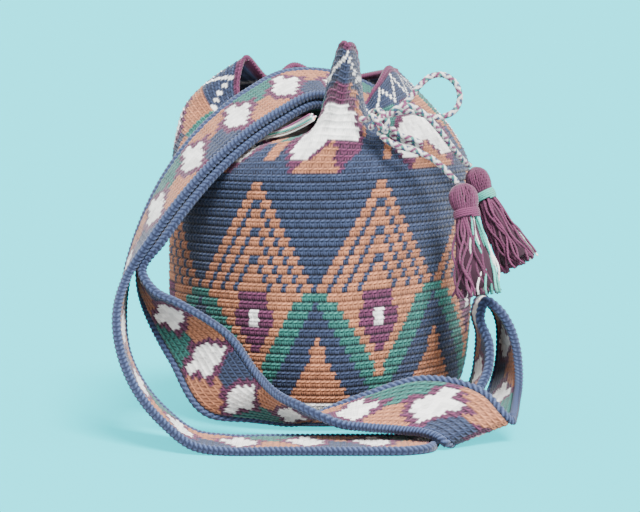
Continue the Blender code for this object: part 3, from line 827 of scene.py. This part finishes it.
class BAG_OT_strap(bpy.types.Operator):
    """Tapestry-crocheted strap with its stitched pattern on both faces"""

    bl_idname = "bag.strap"
    bl_label = "Strap"

    def execute(self, context):
        q, mid, w, face, half = strap_run(STRAP_STITCH / 4)
        cloth = yarn_material("charted crochet")
        depth = context.scene.bag_sizes.strap_relief / MM
        cut = len(q) // 2
        side = []
        for r in range(STRAP_ROWS):
            side += [(r + f) / STRAP_ROWS for f in ROW_STEPS]
        # once round the strap's section: the outer face, one edge, the inner face and the other edge
        loop = [(x, 1) for x in side + [1.0]] + [(1.0, 0)]
        loop += [(x, -1) for x in [1.0] + side[::-1]] + [(0.0, 0)]
        qx = np.array([x * 2 - 1 for x, _ in loop] + [loop[0][0] * 2 - 1])
        fs = np.array([s for _, s in loop] + [loop[0][1]])
        nv = len(loop)
        objs = []
        for tag, lo, hi in (("strap_over", 0, cut), ("strap_return", cut, len(q) - 1)):

            def place(i, j, lo=lo):
                k = i + lo
                x, s = qx[j], fs[j]
                v = (x + 1) / 2 * STRAP_ROWS
                row = np.clip(np.floor(v + 1e-6), 0, STRAP_ROWS - 1).astype(int)
                fv = np.clip(v - row, 0, 1)
                st = strap_stitches(q[k])
                fu = st - np.floor(st)
                h = stitch(fu, fv) * (s != 0)
                n = face[k] * s[:, None]
                edge = np.clip((1 - np.abs(x)) / 0.05, 0, 1) ** 0.5
                thick = (STRAP_T / 2 - 0.5) * (0.55 + 0.45 * edge) + h * depth
                wob = jitter(np.floor(st), row, 7.0)
                co = mid[k] + w[k] * (x * half[k])[:, None] + n * (thick * (1 + 0.08 * wob))[:, None]
                flip = q[k] > STRAP_FLIP
                codes = strap_chart(np.floor(st - np.where(fv < 0.3, 0.3, 0)) + 0.5,
                                    np.where(flip, STRAP_ROWS - 1 - row, row))
                return (co, yarn_colours(codes, 1 + 0.06 * wob), np.clip(h + 0.35 * (s == 0), 0, 1),
                        np.stack([st, v], 1))

            ob = grid_mesh(tag, hi - lo, nv, place, closed_v=True, cap=True)
            edit(ob.data, point_outwards)
            objs.append((ob, q[hi] - q[lo]))
        settle(objs[0][0], cloth, "strap", slot="strap_yarn")
        settle(objs[1][0], cloth, slot="strap_yarn")
        return {"FINISHED"}


class BAG_OT_edging(bpy.types.Operator):
    """Chain braid along both long edges of the strap"""

    bl_idname = "bag.edging"
    bl_label = "Strap edging"

    def execute(self, context):
        nv = EDGE_SIDES
        q, mid, w, face, half = strap_run(EDGE_PITCH / EDGE_STEPS)
        blue = context.scene.bag_yarns.blue[:]
        # the edging yarn paints shade of this gap colour in its low places
        yarn = yarn_material("edging yarn", tuple(min(1, c * 1.05) for c in blue), plies=2.0, depth=0.95,
                             gap=(0.05, 0.05, 0.09, 1))
        for name, sgn in (("strap_edging_a", -1), ("strap_edging_b", 1)):
            edge = mid + w * (sgn * half)[:, None]
            run = unit(np.gradient(edge, axis=0))
            out = unit(sgn * w - run * np.sum(sgn * w * run, axis=1)[:, None])
            c = edge + out * (GAP + EDGE_D / 2 - 0.3)

            def place(i, j, c=c, out=out):
                a = 2 * math.pi * j / nv
                u = i / EDGE_STEPS
                from_out = np.abs((a + math.pi) % (2 * math.pi) - math.pi)
                h = np.abs(np.cos(math.pi * (u + 0.85 * from_out / (math.pi / 2)))) ** 0.8
                valley = np.exp(-(from_out / 0.30) ** 2)
                r = EDGE_D / 2 * (0.70 + 0.42 * h) * (1 - 0.22 * valley)
                co = round_point(c[i], out[i], face[i], r * 1.05, r * 1.24, a)
                # painted shade: the relief, which sets how dark the yarn is, drops in the valley between the
                # chain's two columns and between its loops
                rel = np.clip(1.15 * h ** 1.6 - 0.08 - 0.7 * valley, 0, 1)
                return co, one_colour(blue, len(i)), rel, np.stack([u, j / nv * 3], 1)

            ob = grid_mesh(name + "_braid", len(q) - 1, nv, place, closed_v=True, cap=True)
            edit(ob.data, point_outwards)
            settle(ob, yarn, name, slot="edging_yarn")
        return {"FINISHED"}


# ---- drawstring ------------------------------------------------------------------------
def braided_cord(name, points, diameter, node, pitch=2.7, step=0.62):
    """Round eight-strand braid: plump strands crossing over one another, in three yarns."""
    p = curve(points, step=step)
    s, b = carried(p)
    nv = 16
    y = bpy.context.scene.bag_yarns
    yarns = (y.white, y.mauve, y.white, y.blue, y.white, y.teal, y.mauve, y.white)
    n = len(p)

    def place(i, j):
        a = j / nv
        w = i * step / pitch
        f, g = a * 4 + w, a * 4 - w
        over = (np.floor(f) + np.floor(g)).astype(int) % 2 == 0
        cell = np.where(over, f, g)
        cross = np.where(over, g, f)
        h = np.sqrt(np.abs(np.sin(math.pi * (cell % 1.0)))) * (0.55 + 0.45 * np.sin(math.pi * (cross % 1.0)))
        idx = np.where(over, np.floor(f).astype(int) % 4, 4 + np.floor(g).astype(int) % 4)
        end = np.minimum(i, n - 1 - i) * step / diameter
        r = diameter / 2 * (0.78 + 0.28 * h) * np.clip(0.35 + end * 2, 0, 1) ** 0.5
        co = round_point(p[i], s[i], b[i], r, r, 2 * math.pi * a)
        col = shaded(yarns, idx, 0.85 + 0.1 * jitter(np.floor(f), np.floor(g), 4))
        return co, col, np.clip(h, 0, 1), np.stack([w * 2, a * 4], 1)

    ob = grid_mesh(name, n - 1, nv, place, closed_v=True, cap=True)
    edit(ob.data, point_outwards)
    # the drawstring yarn paints a light shade in the low places between the braid's strands
    settle(ob, yarn_material("drawstring yarn", plies=3.0, gap=(0.16, 0.15, 0.18, 1), depth=0.75), *node,
           slot="drawstring_yarn")
    return ob, p


def place(v):
    """Metres from millimetres."""
    return tuple(float(c) * MM for c in v)


class BAG_OT_drawstring(bpy.types.Operator):
    """Braided drawstring: bow, knot, bight and the two ends"""

    bl_idname = "bag.drawstring"
    bl_label = "Drawstring"

    def execute(self, context):
        d = context.scene.bag_sizes.cord / MM
        runs = {}
        for name, pts, dia, node in (
                ("cord_exit", EXIT_RUN, d, "drawstring_exit"), ("cord_bow", BOW, d, "drawstring_bow"),
                ("cord_end_back", END_BACK, d, "drawstring_end_back"),
                ("cord_end_front", END_FRONT, d, "drawstring_end_front")):
            runs[name] = braided_cord(name, pts, dia, [node])
        for k, (dy, dz) in enumerate(((-2.2, 2.0), (1.6, -2.0))):
            pts = [(x, y + dy * (1 - 0.6 * (q / 3)), z + dz * (1 - 0.5 * (q / 3)))
                   for q, (x, y, z) in enumerate(BIGHT)]
            braided_cord(f"cord_bight_{k}", pts, d, ["drawstring_bight"] if k == 0 else [])
        for k, pts in enumerate(KNOT_TURNS):
            braided_cord(f"knot_turn_{k}", pts, d, ["drawstring_knot"] if k == 0 else [])
        runs["cord_front_run"] = self.loose_run()
        stub, _ = runs.pop("cord_exit")
        for name, (ob, p) in runs.items():
            place(p[0])
            [place(v) for v in p[::2]] + [place(p[-1])]
        return {"FINISHED"}

    def loose_run(self):
        """The stretch along the front of the mouth, its yarns lying loosely side by side."""
        y = bpy.context.scene.bag_yarns
        rng = random.Random(3)
        p = curve(FRONT_RUN, step=2.0)
        s, b = carried(p)
        q = np.linspace(0, 1, len(p))
        paths = []
        for k in range(LOOSE_YARNS):
            g, ph = 2 * math.pi * k * 0.618, rng.uniform(0, 6.28)
            r = 2.5 * math.sqrt((k + 0.5) / LOOSE_YARNS)
            fan = r * (1 + 0.25 * np.sin(ph + 5 * q))
            paths.append(round_point(p, s, b, fan, fan, g + 1.5 * q))
        cols = [(y.white, y.teal, y.white, y.mauve, y.white, y.orange)[k % 6][:]
                for k in range(LOOSE_YARNS)]
        ob = strands_object("cord_front_run", paths, 0.62, cols)
        settle(ob, yarn_material("tassel yarn", plies=1.0, depth=0.0), "drawstring_front_run",
               slot="drawstring_yarn")
        return ob, p


# ---- tassels ---------------------------------------------------------------------------
def strands_object(name, paths, radius, colours):
    """Many thin strands as one mesh; colours is a yarn colour for each."""
    cu = bpy.data.curves.new(name, "CURVE")
    cu.dimensions = "3D"
    cu.bevel_depth = radius * MM
    cu.bevel_resolution = 1
    cu.resolution_u = 1
    for pts in paths:
        sp = cu.splines.new("POLY")
        sp.points.add(len(pts) - 1)
        sp.points.foreach_set("co", np.concatenate([np.asarray(pts) * MM, np.ones((len(pts), 1))], 1).ravel())
    tmp = add_object(name + "_curve", cu)
    bpy.context.view_layer.update()
    me = bpy.data.meshes.new_from_object(tmp.evaluated_get(bpy.context.evaluated_depsgraph_get()))
    bpy.data.objects.remove(tmp, do_unlink=True)
    bpy.data.curves.remove(cu)
    n = len(me.vertices)
    ring = n // sum(len(p) for p in paths)
    counts = [len(p) * ring for p in paths]
    col = np.empty((n, 4))
    rel = np.ones(n)
    u = np.zeros((n, 2))
    k = 0
    for pts, c, cnt in zip(paths, colours, counts):
        cnt = min(cnt, n - k)
        col[k:k + cnt] = (*c, 1)
        a = lengths(pts)
        u[k:k + cnt, 0] = np.repeat(a, ring)[:cnt] / 2.2
        u[k:k + cnt, 1] = np.tile(np.arange(ring) / ring * 2, len(pts))[:cnt]
        k += cnt
    me.name = name
    for lay in list(me.uv_layers):
        me.uv_layers.remove(lay)
    dye(me, col, rel, u)
    edit(me, fill_ends, point_outwards)
    return smooth_object(name, me)


HEAD = [(-0.5, 1.2), (0.4, 3.6), (2.0, 6.0), (5.0, 8.0), (9.0, 8.7), (13.0, 8.4), (17.0, 7.2),
        (20.5, 6.0), (24.0, 5.8)]     # (distance down the tassel, radius), millimetres
HEAD_STRANDS, WOUND_TURNS = 34, 4.2
SKIRT_FROM = 21        # where the skirt leaves the wound neck
GOLDEN = 0.618034      # share of a turn between one skirt strand and the next


class BAG_OT_tassels(bpy.types.Operator):
    """Two yarn tassels with wound necks"""

    bl_idname = "bag.tassels"
    bl_label = "Tassels"

    def execute(self, context):
        y = context.scene.bag_yarns
        plum = tuple(c * 0.42 for c in y.mauve)
        self.make("front", FRONT_AXIS, plum, plum, 1.12, 5)
        self.make("back", BACK_AXIS, plum, y.teal[:], 0.95, 9)
        return {"FINISHED"}

    def make(self, tag, axis, colour, wound, wide, seed):
        y = bpy.context.scene.bag_yarns
        sizes = bpy.context.scene.bag_sizes
        rad = sizes.strand / MM / 2
        rng = random.Random(seed)
        p = curve(axis, step=1.0)
        arc = lengths(p)
        t = unit(np.gradient(p, axis=0))
        s = unit(np.array([1.0, 0, 0]) - t * t[:, :1])
        b = np.cross(t, s)

        def at(dist, r, g):
            k = np.interp(dist, arc, np.arange(len(arc)))
            lo = int(min(k, len(p) - 1))
            hi = min(lo + 1, len(p) - 1)
            f = k - lo
            c = p[lo] * (1 - f) + p[hi] * f
            ss, bb = s[lo], b[lo]
            return c + ss * (r * math.cos(g) * wide) + bb * (r * math.sin(g) / wide)

        paths, cols = [], []
        hd = np.array(HEAD)
        for k in range(HEAD_STRANDS):
            g0 = 2 * math.pi * k / HEAD_STRANDS
            pts = []
            for dist in np.linspace(HEAD[0][0], HEAD[-1][0], 15):
                r = np.interp(dist, hd[:, 0], hd[:, 1])
                turn = g0 + 0.012 * dist + 0.05 * rng.uniform(-1, 1)
                pts.append(at(max(dist, 0), r, turn) + t[0] * min(dist, 0))
            paths.append(pts)
            shade = 0.78 + 0.22 * rng.uniform(-1, 1)
            cols.append(tuple(c * shade for c in colour))
        total = arc[-1]
        n = sizes.strands
        for k in range(n):
            g0 = 2 * math.pi * (k * GOLDEN)
            rr = math.sqrt((k + 0.6) / n)
            end = total + rng.uniform(-3.5, 0.0)
            tw = rng.uniform(-0.7, 0.7)
            ph, am = rng.uniform(0, 6.28), rng.uniform(0.5, 2.0)
            pts = []
            for q in np.linspace(0, 1, 16):
                dist = SKIRT_FROM + (end - SKIRT_FROM) * q
                flare = 5.2 + 12.5 * (q ** 0.75) - 1.5 * q * q
                r = rr * flare + am * math.sin(ph + q * 9) * (0.3 + q)
                pts.append(at(dist, r, g0 + tw * q + 0.20 * math.sin(ph + 9 * q) + 0.16 * math.sin(7 * g0)))
            paths.append(pts)
            # painted shade: strands nearer the core are darker; the random factor is each strand's own tone
            core_shade_and_tone = (0.30 + 0.62 * rr ** 2) * (1 + 0.28 * rng.uniform(-1, 1))
            c = colour
            if tag == "front" and math.cos(g0 - 0.5) > 0.72 and rr > 0.55:
                c = y.teal[:] if k % 2 else y.white[:]
            if tag == "back" and math.cos(g0) > 0.93 and rr > 0.75:
                c = y.white[:]
            cols.append(tuple(v * core_shade_and_tone for v in c))
        ob = strands_object("tassel_yarns_" + tag, paths, rad, cols)
        settle(ob, yarn_material("tassel yarn", plies=1.0, depth=0.0), "tassel_" + tag, slot="tassel_yarn")
        # a soft core behind the strands, so that no light passes between them; its colour, a quarter of the
        # yarn's, is painted shade between the strands
        core = [(0.6, 2.4), (2.5, 5.2), (6, 7.2), (11, 7.8), (16, 6.9), (20, 5.4), (24, 5.0), (30, 6.4),
                (40, 9.0), (55, 11.5), (total - 7, 13.0), (total - 6, 9.0), (total - 6, 0.5)]
        ca = np.array(core)
        nu, nv = 24, len(core) - 1
        core_shade = tuple(v * 0.25 for v in colour)

        def place(i, j):
            co = np.array([at(ca[jj, 0], ca[jj, 1], 2 * math.pi * ii / nu) for ii, jj in zip(i, j)])
            return co, one_colour(core_shade, len(i)), np.full(len(i), 0.3), np.stack([i / 2.0, j * 1.0], 1)

        soft = grid_mesh("tassel_core_" + tag, nu, nv, place, closed_u=True, cap=True)
        edit(soft.data, point_outwards)
        settle(soft, yarn_material("tassel yarn"), slot="tassel_yarn")
        # the wound neck
        pts = []
        for q in np.linspace(0, 1, int(WOUND_TURNS * 22)):
            g = 2 * math.pi * WOUND_TURNS * q
            pts.append(at(18.6 + 5.4 * q, 7.6 + 0.35 * math.sin(q * math.pi), g))
        neck = strands_object("tassel_wound_" + tag, [pts], 0.95, [wound])
        settle(neck, yarn_material("tassel yarn"), "tassel_binding_" + tag,
               slot="teal_yarn" if tag == "back" else "tassel_yarn")


class BAG_OT_stitching(bpy.types.Operator):
    """Whipped seams that hold the strap ends inside the collar"""

    bl_idname = "bag.stitching"
    bl_label = "Strap seams"

    def execute(self, context):
        _, mid, w, face, half = strap_run(SEAM_STEP)
        yarn = yarn_material("tassel yarn")
        white = context.scene.bag_yarns.white[:]
        for tag, k, nxt in (("a", 0, 1), ("b", -1, -2)):
            t = unit(mid[nxt] - mid[k])
            paths = []
            for x in np.linspace(-half[k] + 3, half[k] - 3, SEAM_STITCHES):
                a = mid[k] + w[k] * x - t * 1.8
                paths.append([a + face[k] * 2.9 + t * 3.5, a + face[k] * 3.0, a - t * 1.2, a - face[k] * 3.0,
                              a - face[k] * 2.9 + t * 3.5])
            ob = strands_object("strap_seam_" + tag, paths, 0.7, [white] * len(paths))
            settle(ob, yarn, "strap_stitching_" + tag, slot="white_yarn")
        return {"FINISHED"}


# ---- stage -----------------------------------------------------------------------------
# metres, and degrees for how high and how far to the right the key light stands
CAMERA_AT, CAMERA_DOWN, CAMERA_LENS = (0, -1.8, 0.285), 5.3, 135.0
FLOOR_BOUNCE = (0.36, 0.42, 0.44)     # the sweep's colour as the bag sees it
FLOOR_HALF = 60.0      # half the floor's width, far past what the camera sees
SUN_SOFT = 24.0        # the angle that the key light spans
SUN_HIGH, SUN_SIDE, SUN_POWER, ROOM_POWER = 52.0, 24.0, 9.6, 1.2
FLOOR_LIT = ROOM_POWER + SUN_POWER * math.sin(math.radians(SUN_HIGH)) / math.pi
GLOW = 0.45            # share of the sweep's brightness that shadows don't take away


class BAG_OT_stage(bpy.types.Operator):
    """Pale sweep, soft lights and the camera"""

    bl_idname = "bag.stage"
    bl_label = "Stage"

    def execute(self, context):
        scene = context.scene
        ob = add_object("floor", flat_grid("floor", 1, 1, FLOOR_HALF))
        pale = scene.bag_yarns.floor[:]
        mat = bpy.data.materials.new("floor paper")
        mat.use_nodes = True
        tree = mat.node_tree
        seen = add_node(tree, "ShaderNodeLightPath").outputs["Is Camera Ray"]
        mix = add_node(tree, "ShaderNodeMix", data_type="RGBA")
        feed(tree, mix, {0: seen, 6: (*FLOOR_BOUNCE, 1), 7: (*(c * (1 - GLOW) for c in pale), 1)})
        glow = add_node(tree, "ShaderNodeMath", {0: seen, 1: GLOW * FLOOR_LIT}, operation="MULTIPLY")
        feed(tree, tree.nodes["Principled BSDF"], {
            "Roughness": 1.0, "Specular IOR Level": 0.0, "Base Color": mix.outputs[2],
            "Emission Color": (*pale, 1), "Emission Strength": glow.outputs[0]})
        ob.data.materials.append(mat)
        cam = bpy.data.cameras.new("camera")
        cam.lens, cam.sensor_width, cam.clip_end = CAMERA_LENS, 36.0, 300.0
        co = add_object("camera", cam)
        co.location = CAMERA_AT
        co.rotation_euler = (math.radians(90 - CAMERA_DOWN), 0, 0)
        scene.camera = co
        high, side = math.radians(SUN_HIGH), math.radians(SUN_SIDE)
        li = bpy.data.lights.new("key", "SUN")
        li.energy, li.angle = SUN_POWER, math.radians(SUN_SOFT)
        lo = add_object("key", li)
        lo.rotation_euler = (math.pi / 2 - high, 0, side)
        world = bpy.data.worlds.new("soft room")
        scene.world = world
        world.use_nodes = True
        tree = world.node_tree
        room = tree.nodes["Background"]
        feed(tree, room, {0: (0.97, 0.99, 1.0, 1), 1: ROOM_POWER})
        far = add_node(tree, "ShaderNodeBackground", {0: (*pale, 1), 1: FLOOR_LIT})
        seen = add_node(tree, "ShaderNodeLightPath").outputs["Is Camera Ray"]
        mix = add_node(tree, "ShaderNodeMixShader", {0: seen, 1: room.outputs[0], 2: far.outputs[0]})
        feed(tree, tree.nodes["World Output"], {0: mix.outputs[0]})
        return {"FINISHED"}


class BAG_PT_panel(bpy.types.Panel):
    """Buttons for the pieces of the bag"""

    bl_idname = "BAG_PT_panel"
    bl_label = "Mochila bag"
    bl_space_type = "VIEW_3D"
    bl_region_type = "UI"
    bl_category = "Mochila"

    def draw(self, context):
        for group in (context.scene.bag_yarns, context.scene.bag_sizes):
            for key in group.__annotations__:
                self.layout.prop(group, key)
        for op in OPERATORS:
            self.layout.operator(op.bl_idname)


OPERATORS = (BAG_OT_stage, BAG_OT_drawstring, BAG_OT_tassels, BAG_OT_strap, BAG_OT_edging,
             BAG_OT_stitching, BAG_OT_body)
CLASSES = (BagYarns, BagSizes, *OPERATORS, BAG_PT_panel)


def register():
    for c in CLASSES:
        bpy.utils.register_class(c)
    bpy.types.Scene.bag_yarns = PointerProperty(type=BagYarns)
    bpy.types.Scene.bag_sizes = PointerProperty(type=BagSizes)


def unregister():
    del bpy.types.Scene.bag_sizes
    del bpy.types.Scene.bag_yarns
    for c in reversed(CLASSES):
        bpy.utils.unregister_class(c)


def main():
    register()
    for op in OPERATORS:
        getattr(bpy.ops.bag, op.bl_idname.split(".")[1])()


if __name__ == "__main__":
    main()
